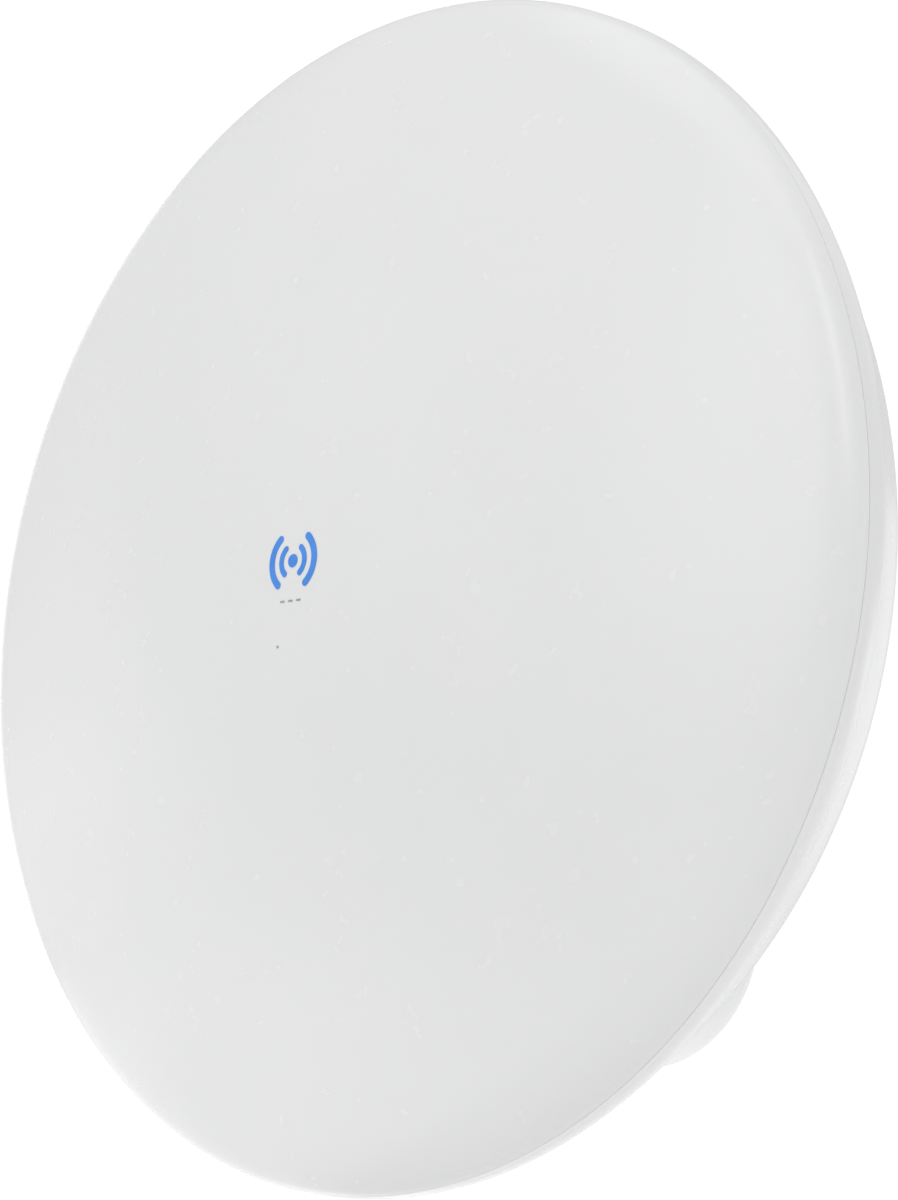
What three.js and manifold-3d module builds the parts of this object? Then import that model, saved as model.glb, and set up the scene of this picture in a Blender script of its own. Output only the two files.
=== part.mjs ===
// Directional dish radio antenna: a parabolic reflector and feed under a shallow round radome,
// a radio pod on the back with a slide-off port cover, and a tilting mast bracket with a worm-drive band.
// Millimetres, +Z up, the radome faces -Y. Origin: axis of a 50 mm mast, level with the band.
import * as THREE from "three";
import { mergeVertices } from "three/addons/utils/BufferGeometryUtils.js";
import Module from "manifold-3d";

const wasm = await Module();
wasm.setup();

// ---------- driving dimensions ----------
const RIM_R = 181; // largest radius of the dish housing
const SEAM_R = 180.8; // radius at the parting line between radome and rear housing
const DOME_H = 32.3; // radome apex in front of the parting line
const SHELL = 2.4; // radome wall
const FOCAL = 100.3; // focal length of the reflector
const REFLECTOR_VERTEX = 75.5; // reflector vertex behind the parting line
const POD_R = 45; // half width and end radius of the radio pod
const POD_TOP = 17; // upper end-arc centre, above the dish axis
const POD_BOTTOM = -93; // lower end-arc centre, below the dish axis
const POD_DECK = 90; // flat deck on the housing that the pod sits on, behind the parting line
const POD_REAR = 143; // rear face of the pod, behind the parting line
const POD_WALL = 2.5;
const COVER_SPLIT = -92; // parting line between pod and port cover
const PIVOT_BACK = 168; // tilt pivot behind the parting line
const MAST_BACK = 220; // mast axis behind the parting line
const AXIS_UP = -20; // dish axis against the band's level
const PIVOT_UP = -58; // tilt pivot against the band's level
const MAST_R = 25; // nominal mast radius
const V_DEG = 30; // each face of the saddle leans this much, a 120 degree vee
const SADDLE_X = 21; // half width of the saddle
const SADDLE_Z = 20; // half height of the saddle
const BAND_T = 0.8; // band thickness
const BAND_Z = 6.3; // half width of the band
const WORM_DEG = 140; // where the worm housing sits on the band
const LOCK_R = 20; // lock bolt above the pivot
const TILT_DEG = 20; // tilt each way
const M8 = 4; // pivot bolt shank radius
const M6 = 3; // lock bolt shank radius
const GAP = 0.3; // clearance between touching pieces
const SEG = 48; // segments round the dish

// ---------- solids from three.js geometry ----------
function solid(geometry, matrix) {
  const g = geometry.index ? geometry.toNonIndexed() : geometry.clone();
  for (const k of Object.keys(g.attributes)) if (k !== "position") g.deleteAttribute(k);
  if (matrix) g.applyMatrix4(matrix);
  const m = mergeVertices(g, 1e-4);
  const at = m.index.array;
  const tri = [];
  for (let i = 0; i < at.length; i += 3)
    if (at[i] !== at[i + 1] && at[i + 1] !== at[i + 2] && at[i + 2] !== at[i])
      tri.push(at[i], at[i + 1], at[i + 2]);
  const vertProperties = new Float32Array(m.attributes.position.array);
  const make = (t) =>
    new wasm.Manifold(new wasm.Mesh({ numProp: 3, vertProperties, triVerts: new Uint32Array(t) }));
  const made = make(tri);
  if (made.volume() >= 0) return made;
  for (let i = 0; i < tri.length; i += 3) [tri[i + 1], tri[i + 2]] = [tri[i + 2], tri[i + 1]];
  return make(tri);
}

function basis(x, y, z, o) {
  return new THREE.Matrix4().makeBasis(x, y, z).setPosition(o);
}
const V = (x, y, z) => new THREE.Vector3(x, y, z);
const shapeOf = (pts) => new THREE.Shape(pts.map(([a, b]) => new THREE.Vector2(a, b)));

// A closed outline swept along Y from y0 to y1; the outline is in (x, z).
function alongY(pts, y0, y1, extra = {}) {
  const g = new THREE.ExtrudeGeometry(shapeOf(pts), { depth: y1 - y0, bevelEnabled: false, ...extra });
  return solid(g, basis(V(1, 0, 0), V(0, 0, 1), V(0, -1, 0), V(0, y1, 0)));
}
// Swept along X from x0 to x1; the outline is in (y, z).
function alongX(pts, x0, x1) {
  const g = new THREE.ExtrudeGeometry(shapeOf(pts), { depth: x1 - x0, bevelEnabled: false });
  return solid(g, basis(V(0, 1, 0), V(0, 0, 1), V(1, 0, 0), V(x0, 0, 0)));
}
// Swept along Z from z0 to z1; the outline is in (x, y).
function alongZ(pts, z0, z1) {
  const g = new THREE.ExtrudeGeometry(shapeOf(pts), { depth: z1 - z0, bevelEnabled: false });
  return solid(g, new THREE.Matrix4().makeTranslation(0, 0, z0));
}
function box(x0, x1, y0, y1, z0, z1) {
  return solid(
    new THREE.BoxGeometry(x1 - x0, y1 - y0, z1 - z0),
    new THREE.Matrix4().makeTranslation((x0 + x1) / 2, (y0 + y1) / 2, (z0 + z1) / 2),
  );
}
function circle(r, a = 0, b = 0, n = 20, turn = 0) {
  return Array.from({ length: n }, (_, i) => {
    const t = (2 * Math.PI * i) / n + turn;
    return [a + r * Math.cos(t), b + r * Math.sin(t)];
  });
}
const rodX = (r, x0, x1, y, z, n = 16) => alongX(circle(r, y, z, n), x0, x1);
const rodY = (r, y0, y1, x, z, n = 16) => alongY(circle(r, x, z, n), y0, y1);
const rodZ = (r, z0, z1, x, y, n = 16) => alongZ(circle(r, x, y, n), z0, z1);
// A profile of (radius, y) points turned round the dish axis.
function turned(profile, seg = SEG) {
  return solid(new THREE.LatheGeometry(profile.map(([r, y]) => new THREE.Vector2(r, y)), seg));
}
// Upright outline with round ends, in (x, z).
function stadium(r, top, bottom, n = 18) {
  const pts = [];
  for (let i = 0; i <= n; i++) {
    const t = (Math.PI * i) / n;
    pts.push([r * Math.cos(t), top + r * Math.sin(t)]);
  }
  for (let i = 0; i <= n; i++) {
    const t = Math.PI + (Math.PI * i) / n;
    pts.push([r * Math.cos(t), bottom + r * Math.sin(t)]);
  }
  return pts;
}
const rad = (d) => (d * Math.PI) / 180;

const WHITE = { color: 0xe6e7e8, roughness: 0.45, metalness: 0 };
const PAINT = { color: 0xd9dadb, roughness: 0.5, metalness: 0.1 };
const STEEL = { color: 0xb9bcbf, roughness: 0.35, metalness: 0.9 };
const ALU = { color: 0xc9cbce, roughness: 0.4, metalness: 0.85 };

function mesh(name, made, look, parent) {
  const out = made.getMesh();
  const v = new Float32Array(out.numVert * 3);
  for (let i = 0; i < out.numVert; i++)
    v.set(out.vertProperties.subarray(i * out.numProp, i * out.numProp + 3), i * 3);
  const g = new THREE.BufferGeometry();
  g.setAttribute("position", new THREE.BufferAttribute(v, 3));
  g.setIndex(new THREE.BufferAttribute(new Uint32Array(out.triVerts), 1));
  g.computeVertexNormals();
  const m = new THREE.Mesh(g, new THREE.MeshStandardMaterial(look));
  m.name = name;
  parent.add(m);
  return m;
}

const antenna = new THREE.Group();
const dish = new THREE.Group(); // y is measured back from the parting line, z from the dish axis
dish.position.set(0, -MAST_BACK, AXIS_UP);
antenna.add(dish);
const clamp = new THREE.Group(); // y is measured from the mast axis, z from the tilt pivot
clamp.position.set(0, 0, PIVOT_UP);
antenna.add(clamp);

// ---------- radome ----------
const DOME = [
  [0, -DOME_H], [30, -31.8], [60, -30.1], [90, -27.2], [115, -23.8], [135, -19.9], [150, -15.9],
  [162, -11.7], [170, -8.0], [175.5, -4.9], [178.9, -2.4], [180.4, -0.9], [SEAM_R, -GAP / 2],
];
mesh("front_radome", turned([
  ...DOME,
  [178, -GAP / 2], [178, 4], [176.3, 4], [176.3, -1.5], [168.6, -6.0], [148.9, -13.7], [114.4, -21.4],
  [59.7, -27.7], [0, SHELL - DOME_H],
]), WHITE, dish);

mesh("radome_seal", turned([[176.4, 4.3], [177.9, 4.3], [177.9, 5.8], [176.4, 5.8], [176.4, 4.3]]),
  { color: 0x2b2c2e, roughness: 0.8, metalness: 0 }, dish);

// ---------- rear housing: bowl, pod collar and flat deck ----------
const BOWL = [
  [SEAM_R, GAP / 2], [RIM_R, 4.7], [179.6, 8.6], [176, 11.3], [172.5, 20.5], [166, 33.4], [156, 46],
  [138, 58], [110, 68.5], [75, 76.5], [24, 81],
];
const bowl = turned([
  ...BOWL,
  [24, 78], [75, 73.6], [109, 65.8], [136.5, 55.6], [153.6, 44], [163.2, 32.4], [169.6, 19.6],
  [171.8, 10.6], [170.5, 8.4], [170.5, 6.1], [178.3, 6.1], [178.3, GAP / 2], [SEAM_R, GAP / 2],
]);
const collarOuter = alongY(stadium(POD_R, POD_TOP, POD_BOTTOM), 30, POD_DECK);
const collarInner = alongY(stadium(POD_R - 3, POD_TOP, POD_BOTTOM), 20, POD_DECK - 3);
const bowlFill = turned([[0, -10], ...BOWL.slice(1).map(([r, y]) => [r - 0.8, y - 1.2]), [0, 79.8]]);
const deckHole = alongY(stadium(POD_R - 11, POD_TOP, -80 + (POD_R - 11)), 60, 120);
const collar = collarOuter.subtract(collarInner).subtract(deckHole).subtract(bowlFill);
mesh("rear_housing", bowl.add(collar), WHITE, dish);

// ---------- reflector and feed ----------
const para = (r) => REFLECTOR_VERTEX - (r * r) / (4 * FOCAL);
const front = [167, 145, 122, 98, 72, 46, 21.2].map((r) => [r, para(r)]);
const back = front.map(([r, y]) => [r, y + 1]).reverse();
mesh("reflector", turned([
  ...front, ...back.slice(0, -1), [167.6, 5.9], [175.6, 5.9], [175.6, 4.9], [168, 4.9], front[0],
], SEG), ALU, dish);

const BOARD = 118; // front face of the radio board
mesh("feed_waveguide", turned([
  [19, -4], [20.5, -4], [20.5, BOARD - 3.3], [26, BOARD - 3.3], [26, BOARD - GAP], [19, BOARD - GAP], [19, -4],
], 24), ALU, dish);
mesh("feed_cone", turned([
  [0, -20.2], [30, -20.2], [30, -18], [21, -4.3], [18.7, -4.3], [18.7, 12], [6, 30], [0, 30],
], 24), { color: 0xe9e6dc, roughness: 0.5, metalness: 0 }, dish);
mesh("sub_reflector", turned([[0, -24], [31, -24], [32, -23], [32, -20.5], [0, -20.5]], 24), ALU, dish);

// ---------- radio pod ----------
function podBlank(grow = 0) {
  const edge = 8;
  const g = new THREE.ExtrudeGeometry(shapeOf(stadium(POD_R + grow, POD_TOP, POD_BOTTOM)), {
    depth: 60, bevelEnabled: true, bevelThickness: edge + grow, bevelSize: edge + grow,
    bevelOffset: -edge - grow, bevelSegments: 5,
  });
  const rear = POD_REAR + grow;
  return solid(g, basis(V(1, 0, 0), V(0, 0, 1), V(0, -1, 0), V(0, rear - edge - grow, 0)));
}
const podFull = podBlank().intersect(box(-60, 60, POD_DECK + 1.3, 160, -150, 80));
const podHollow = podBlank(-POD_WALL).intersect(box(-60, 60, 60, 160, -150, 80));
const upper = box(-60, 60, 80, 160, COVER_SPLIT, 90);
const podColumns = [
  [36.5, 6], [-36.5, 6], [36.5, -72], [-36.5, -72],
].map(([x, z]) => rodY(4.6, POD_DECK + 1.3, POD_REAR - 1.5, x, z, 12).add(
  box(Math.min(x, Math.sign(x) * 43.5), Math.max(x, Math.sign(x) * 43.5), POD_DECK + 1.3, POD_REAR - 8, z - 1.5, z + 1.5),
));
let pod = podFull.intersect(upper).subtract(
  podHollow.intersect(box(-60, 60, 60, 160, COVER_SPLIT + 2.6, 90)),
);
for (const c of podColumns) pod = pod.add(c);
for (const [x, z] of [[36.5, 6], [-36.5, 6], [36.5, -72], [-36.5, -72]])
  pod = pod.subtract(rodY(2.3, 80, 160, x, z, 12)).subtract(rodY(4.4, POD_REAR - 5, 160, x, z, 12));
for (const [x, z] of [[20, 0], [-20, 0], [20, -76], [-20, -76]])
  pod = pod.subtract(rodY(2.8, POD_REAR - 4, 160, x, z, 12));
pod = pod.subtract(box(-9.3, 9.3, 103.2, BOARD + 0.5, COVER_SPLIT - 1, COVER_SPLIT + 4)); // socket window
pod = pod.subtract(rodZ(2.3, COVER_SPLIT - 1, COVER_SPLIT + 4, 20, 111, 12)); // reset button hole
for (const x of [-8, 0, 8]) pod = pod.subtract(rodY(1.7, 130, 160, x, -84, 10)); // status lights
mesh("pod_shell", pod, WHITE, dish);

const sealOuter = alongY(stadium(POD_R - 3.2, POD_TOP, POD_BOTTOM), POD_DECK + 0.25, POD_DECK + 1.05);
const sealInner = alongY(stadium(POD_R - 10, POD_TOP, -78 + (POD_R - 10)), 80, 100);
let podSeal = sealOuter.intersect(box(-60, 60, 80, 100, COVER_SPLIT + 0.3, 80)).subtract(sealInner);
for (const [x, z] of [[36.5, 6], [-36.5, 6], [36.5, -72], [-36.5, -72]])
  podSeal = podSeal.subtract(rodY(2.4, 80, 100, x, z, 12));
mesh("pod_seal", podSeal, { color: 0x2b2c2e, roughness: 0.8, metalness: 0 }, dish);

[[36.5, 6, "upper_right"], [-36.5, 6, "upper_left"], [36.5, -72, "lower_right"], [-36.5, -72, "lower_left"]].forEach(([x, z, n]) => {
  const screw = rodY(1.9, POD_DECK + 1.4, POD_REAR - 4.6, x, z, 10)
    .add(rodY(3.9, POD_REAR - 4.6, POD_REAR - 1.6, x, z, 14))
    .subtract(alongY(circle(1.7, x, z, 6), POD_REAR - 3.2, POD_REAR));
  mesh("pod_screw_" + n, screw, STEEL, dish);
});

// ---------- inside the pod ----------
let board = box(-29, 29, BOARD, BOARD + 1.6, -87.5, 42);
board = board.subtract(rodY(1.6, BOARD - 1, BOARD + 3, 24, 37, 10)).subtract(rodY(1.6, BOARD - 1, BOARD + 3, -24, 37, 10));
mesh("radio_board", board, { color: 0x1f5a3a, roughness: 0.5, metalness: 0 }, dish);
const shield = box(-24, 24, BOARD + 1.9, BOARD + 6, -60, 30).subtract(box(-23.6, 23.6, BOARD + 1, BOARD + 5.6, -59.6, 29.6));
mesh("rf_shield_can", shield, STEEL, dish);
mesh("thermal_pad", box(-22, 22, BOARD + 6.3, BOARD + 7.6, -58, 28), { color: 0x8fa3b5, roughness: 0.9, metalness: 0 }, dish);
let spreader = box(-28, 28, BOARD + 7.9, BOARD + 12, -66, 34);
for (let i = -3; i <= 3; i++) spreader = spreader.add(box(i * 8 - 1, i * 8 + 1, BOARD + 11, BOARD + 20, -64, 32));
mesh("heat_spreader", spreader, ALU, dish);
const jack = box(-8.2, 8.2, 104.2, BOARD - GAP, COVER_SPLIT + 0.2, COVER_SPLIT + 21)
  .subtract(box(-6.1, 6.1, 106.4, 115, COVER_SPLIT - 1, COVER_SPLIT + 15));
mesh("ethernet_socket", jack, STEEL, dish);
mesh("gps_patch", box(-7, 7, BOARD - 4.3, BOARD - GAP, 27.4, 41), { color: 0xcfc3a6, roughness: 0.6, metalness: 0 }, dish);
let pipe = box(-11, 11, BOARD + 2, BOARD + 5, -86, -82);
for (const x of [-8, 0, 8]) pipe = pipe.add(rodY(1.4, BOARD + 4, POD_REAR - 0.2, x, -84, 10));
mesh("status_light_pipe", pipe, { color: 0xe8eef2, roughness: 0.15, metalness: 0 }, dish);
mesh("reset_switch", box(17, 23, 107, BOARD - GAP, -81.4, -77), { color: 0x222326, roughness: 0.5, metalness: 0 }, dish);
const button = rodZ(1.9, COVER_SPLIT - 0.8, COVER_SPLIT + 9.4, 20, 111, 12).add(rodZ(2.8, COVER_SPLIT + 4, COVER_SPLIT + 6, 20, 111, 12));
mesh("reset_button", button, { color: 0x3a3c3f, roughness: 0.5, metalness: 0 }, dish);

// ---------- port cover and its cable grommet ----------
const lower = box(-60, 60, 80, 160, -150, COVER_SPLIT - GAP);
let cover = podFull.intersect(lower).subtract(podHollow.intersect(box(-60, 60, POD_DECK + 3.8, 160, -150, 90)));
const EXIT_Y = 116;
cover = cover.subtract(rodZ(8.2, -150, -125, 0, EXIT_Y, 20));
mesh("port_cover", cover, WHITE, dish);
const grommet = rodZ(10.4, -133.9, -132.3, 0, EXIT_Y, 20)
  .add(rodZ(7.9, -140.4, -132.3, 0, EXIT_Y, 20))
  .subtract(rodZ(3.4, -150, -120, 0, EXIT_Y, 12));
mesh("cable_grommet", grommet, { color: 0x2b2c2e, roughness: 0.8, metalness: 0 }, dish);

// ---------- tilt bracket on the pod ----------
// From here on y is the mast's frame and z is level with the pivot.
const PY = PIVOT_BACK - MAST_BACK; // pivot, in front of the mast axis
const FACE = POD_REAR - MAST_BACK + GAP; // rear face of the pod
function hull(points) {
  const p = [...points].sort((a, b) => a[0] - b[0] || a[1] - b[1]);
  const side = (list) => {
    const out = [];
    for (const q of list) {
      while (out.length > 1) {
        const [a, b] = [out[out.length - 2], out[out.length - 1]];
        if ((b[0] - a[0]) * (q[1] - a[1]) - (b[1] - a[1]) * (q[0] - a[0]) > 1e-9) break;
        out.pop();
      }
      out.push(q);
    }
    out.pop();
    return out;
  };
  return [...side(p), ...side(p.slice().reverse())];
}
const innerEar = hull([
  ...circle(11, PY, 0, 20), ...circle(6.2, PY, LOCK_R, 20), [FACE, -34], [FACE, 40], [FACE + 3, -34], [FACE + 3, 40],
]);
const EAR_IN = 26, EAR_T = 2.6;
let tilt = box(-EAR_IN - EAR_T, EAR_IN + EAR_T, FACE, FACE + 2.6, -46, 46);
for (const s of [-1, 1]) {
  const [a, b] = s < 0 ? [-EAR_IN - EAR_T, -EAR_IN] : [EAR_IN, EAR_IN + EAR_T];
  tilt = tilt.add(alongX(innerEar, a, b));
}
tilt = tilt.subtract(rodX(M8 + 0.3, -50, 50, PY, 0)).subtract(rodX(M6 + 0.3, -50, 50, PY, LOCK_R));
for (const [x, z] of [[20, 38], [-20, 38], [20, -38], [-20, -38]]) tilt = tilt.subtract(rodY(2.8, FACE - 1, FACE + 5, x, z, 12));
mesh("tilt_bracket", tilt, PAINT, clamp);

[[20, 38, "upper_right"], [-20, 38, "upper_left"], [20, -38, "lower_right"], [-20, -38, "lower_left"]].forEach(([x, z, n]) => {
  const s = rodY(2.4, FACE - 4, FACE + 3, x, z, 10).add(rodY(4.6, FACE + 2.9, FACE + 6, x, z, 16))
    .subtract(alongY(circle(2.3, x, z, 6), FACE + 4, FACE + 8));
  mesh("bracket_screw_" + n, s, STEEL, clamp);
});

// Bolt heads and nuts: hexagons 13 mm across flats on the pivot, 10 mm on the lock bolt.
const hex = (r, a, b) => circle(r, a, b, 6, Math.PI / 6);
const OUT0 = EAR_IN + EAR_T + 0.6, OUT1 = OUT0 + 4; // outer ear
function boltX(z, r, across, head, tail) {
  return rodX(r, -OUT1 - 1, OUT1 + tail, PY, z).add(alongX(hex(across, PY, z), -OUT1 - GAP - head, -OUT1 - GAP));
}
const washerX = (z, r, outer, t) => rodX(outer, OUT1 + GAP, OUT1 + GAP + t, PY, z, 20).subtract(rodX(r + 0.35, 0, 60, PY, z));
const nutX = (z, r, across, from, h) => alongX(hex(across, PY, z), OUT1 + from, OUT1 + from + h).subtract(rodX(r + 0.35, 0, 60, PY, z));
mesh("lock_bolt", boltX(LOCK_R, M6, 5.77, 4, 9), STEEL, clamp);
mesh("lock_washer", washerX(LOCK_R, M6, 6.2, 1.5), STEEL, clamp);
mesh("lock_nut", nutX(LOCK_R, M6, 5.77, 2.1, 5), STEEL, clamp);
mesh("pivot_bolt", boltX(0, M8, 7.5, 5.3, 11.6), STEEL, clamp);
mesh("pivot_washer", washerX(0, M8, 8, 1.6), STEEL, clamp);
mesh("pivot_nut", nutX(0, M8, 7.5, 2.2, 6.5), STEEL, clamp);

// ---------- mast bracket: web, outer ears with the tilt slot, vee saddle with the band's slot ----------
const WEB = -35; // face of the web towards the mast
const WEB_T = 3;
const APEX = MAST_R / Math.cos(rad(V_DEG)); // vee apex to mast axis
const faceY = (x) => -APEX + x * Math.tan(rad(V_DEG));
const arc = (r, from, to, n) => Array.from({ length: n + 1 }, (_, i) => {
  const t = rad(from + ((to - from) * i) / n);
  return [PY + r * Math.sin(t), r * Math.cos(t)];
});
const outerEar = hull([
  ...arc(26.6, -33, 33, 10), ...circle(13, PY, 0, 24), [WEB - WEB_T, -14], [WEB - WEB_T, 28], [WEB - 1, -14], [WEB - 1, 28],
]);
const slotHalf = TILT_DEG + 0.8;
const SLOT_R = M6 + 0.35;
const slotEnd = (side, from) => Array.from({ length: 5 }, (_, i) => {
  const t = rad(from - (180 * (i + 1)) / 6);
  const c = rad(side * slotHalf);
  return [PY + LOCK_R * Math.sin(c) + SLOT_R * Math.cos(t), LOCK_R * Math.cos(c) + SLOT_R * Math.sin(t)];
});
const slot = [
  ...arc(LOCK_R + SLOT_R, -slotHalf, slotHalf, 8), ...slotEnd(1, 90 - slotHalf),
  ...arc(LOCK_R - SLOT_R, slotHalf, -slotHalf, 8), ...slotEnd(-1, 270 + slotHalf),
];
const RISE = -PIVOT_UP; // the band's level above the pivot
let mast = box(-OUT1, OUT1, WEB - WEB_T, WEB, -14, 32).add(box(-SADDLE_X, SADDLE_X, WEB - WEB_T, WEB, 30, RISE + SADDLE_Z));
for (const s of [-1, 1]) {
  const [a, b] = s < 0 ? [-OUT1, -OUT0] : [OUT0, OUT1];
  mast = mast.add(alongX(outerEar, a, b));
}
mast = mast.add(alongZ([
  [-SADDLE_X, WEB - 1], [SADDLE_X, WEB - 1], [SADDLE_X, faceY(SADDLE_X)], [0, -APEX], [-SADDLE_X, faceY(SADDLE_X)],
], RISE - SADDLE_Z, RISE + SADDLE_Z));
mast = mast.subtract(box(-30, 30, WEB, -31.6, RISE - BAND_Z - 0.7, RISE + BAND_Z + 0.7));
mast = mast.subtract(rodX(M8 + 0.3, -60, 60, PY, 0)).subtract(alongX(slot, -60, 60));
mesh("mast_bracket", mast, PAINT, clamp);

// ---------- worm-drive band round the mast ----------
const worm = new THREE.Group(); // y is measured from the mast axis, z from the band's level
antenna.add(worm);
const IN_R = MAST_R + 0.4;
const loop = (r, x, y) => [
  ...Array.from({ length: 37 }, (_, i) => {
    const t = rad(-4 + (188 * i) / 36);
    return [r * Math.cos(t), r * Math.sin(t)];
  }),
  [-x, -y], [x, -y],
];
const band = alongZ(loop(IN_R + BAND_T, 22.7, 33.6), -BAND_Z, BAND_Z)
  .subtract(alongZ(loop(IN_R, 21.8, 33.6 - BAND_T), -BAND_Z - 1, BAND_Z + 1));
mesh("strap_band", band, STEEL, worm);

// Housing and screw lie along the band's tangent: local x is the tangent, y points out from the mast.
const place = new THREE.Matrix4().makeRotationZ(rad(WORM_DEG - 90));
const turnedBy = (m) => solid(fromSolid(m), place);
function fromSolid(m) {
  const out = m.getMesh();
  const v = new Float32Array(out.numVert * 3);
  for (let i = 0; i < out.numVert; i++) v.set(out.vertProperties.subarray(i * out.numProp, i * out.numProp + 3), i * 3);
  const g = new THREE.BufferGeometry();
  g.setAttribute("position", new THREE.BufferAttribute(v, 3));
  g.setIndex(new THREE.BufferAttribute(new Uint32Array(out.triVerts), 1));
  return g;
}
const WORM_Y = IN_R + BAND_T + 6;
const housing = box(-8, 8, WORM_Y - 5.6, WORM_Y + 4.2, -8.2, 8.2).add(box(-8, 8, 23.6, WORM_Y, -8.2, 8.2))
  .subtract(box(-9, 9, 20, IN_R + BAND_T + 0.35, -BAND_Z - 0.4, BAND_Z + 0.4))
  .subtract(rodX(4.6, -9, 9, WORM_Y, 0, 20));
mesh("strap_housing", turnedBy(housing), STEEL, worm);
const screw = rodX(4.2, -9, 10, WORM_Y, 0, 20).add(alongX(circle(5.2, WORM_Y, 0, 6), 9.5, 15))
  .subtract(box(13.5, 16, WORM_Y - 6, WORM_Y + 6, -0.6, 0.6));
mesh("strap_screw", turnedBy(screw), STEEL, worm);

export default antenna;
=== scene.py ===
import bpy
import math
from mathutils import Matrix, Vector


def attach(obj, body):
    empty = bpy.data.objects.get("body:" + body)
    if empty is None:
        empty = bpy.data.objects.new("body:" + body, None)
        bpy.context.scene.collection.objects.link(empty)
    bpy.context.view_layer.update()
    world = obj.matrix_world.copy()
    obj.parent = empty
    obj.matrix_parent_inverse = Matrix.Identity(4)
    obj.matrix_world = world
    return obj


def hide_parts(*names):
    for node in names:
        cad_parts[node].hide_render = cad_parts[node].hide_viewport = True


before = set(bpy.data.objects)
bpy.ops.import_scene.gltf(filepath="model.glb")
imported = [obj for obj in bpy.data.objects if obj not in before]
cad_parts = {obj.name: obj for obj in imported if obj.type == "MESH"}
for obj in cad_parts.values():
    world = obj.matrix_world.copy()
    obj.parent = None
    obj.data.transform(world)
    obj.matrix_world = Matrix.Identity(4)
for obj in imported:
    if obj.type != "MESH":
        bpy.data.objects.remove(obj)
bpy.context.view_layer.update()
scene = bpy.context.scene

# ------------------------------------------------------------------ dimensions, mm
MAST_BACK, AXIS_UP = 220.0, -20.0  # the dish frame's origin in the row frame is (0, -MAST_BACK, AXIS_UP)
SEAM_R, RIM_R, DOME_H = 180.6, 181.0, 32.5
POD_R, POD_TOP, POD_BOTTOM, POD_REAR, POD_DECK = 45.0, 17.0, -93.0, 143.0, 90.0
SPLIT = -92.0
PY, PIV = 168.0 - MAST_BACK, -58.0  # tilt pivot
FACE = POD_REAR - MAST_BACK + 0.3
LOCK_R = 20.0
EAR_IN, EAR_T = 26.0, 2.6
OUT0, OUT1 = EAR_IN + EAR_T + 0.6, EAR_IN + EAR_T + 4.6
WEB, WEB_T = -35.0, 3.0
APEX = 25.0 / math.cos(math.radians(30))
SADDLE_X, SADDLE_Z, BAND_Z, WORM_DEG = 21.0, 20.0, 6.3, 140.0
SEG = 256


# ------------------------------------------------------------------ materials
def rgb(r, g, b):
    return (r, g, b, 1.0)


def node(nt, kind, **values):
    n = nt.nodes.new(kind)
    for k, v in values.items():
        setattr(n, k, v)
    return n


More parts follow.
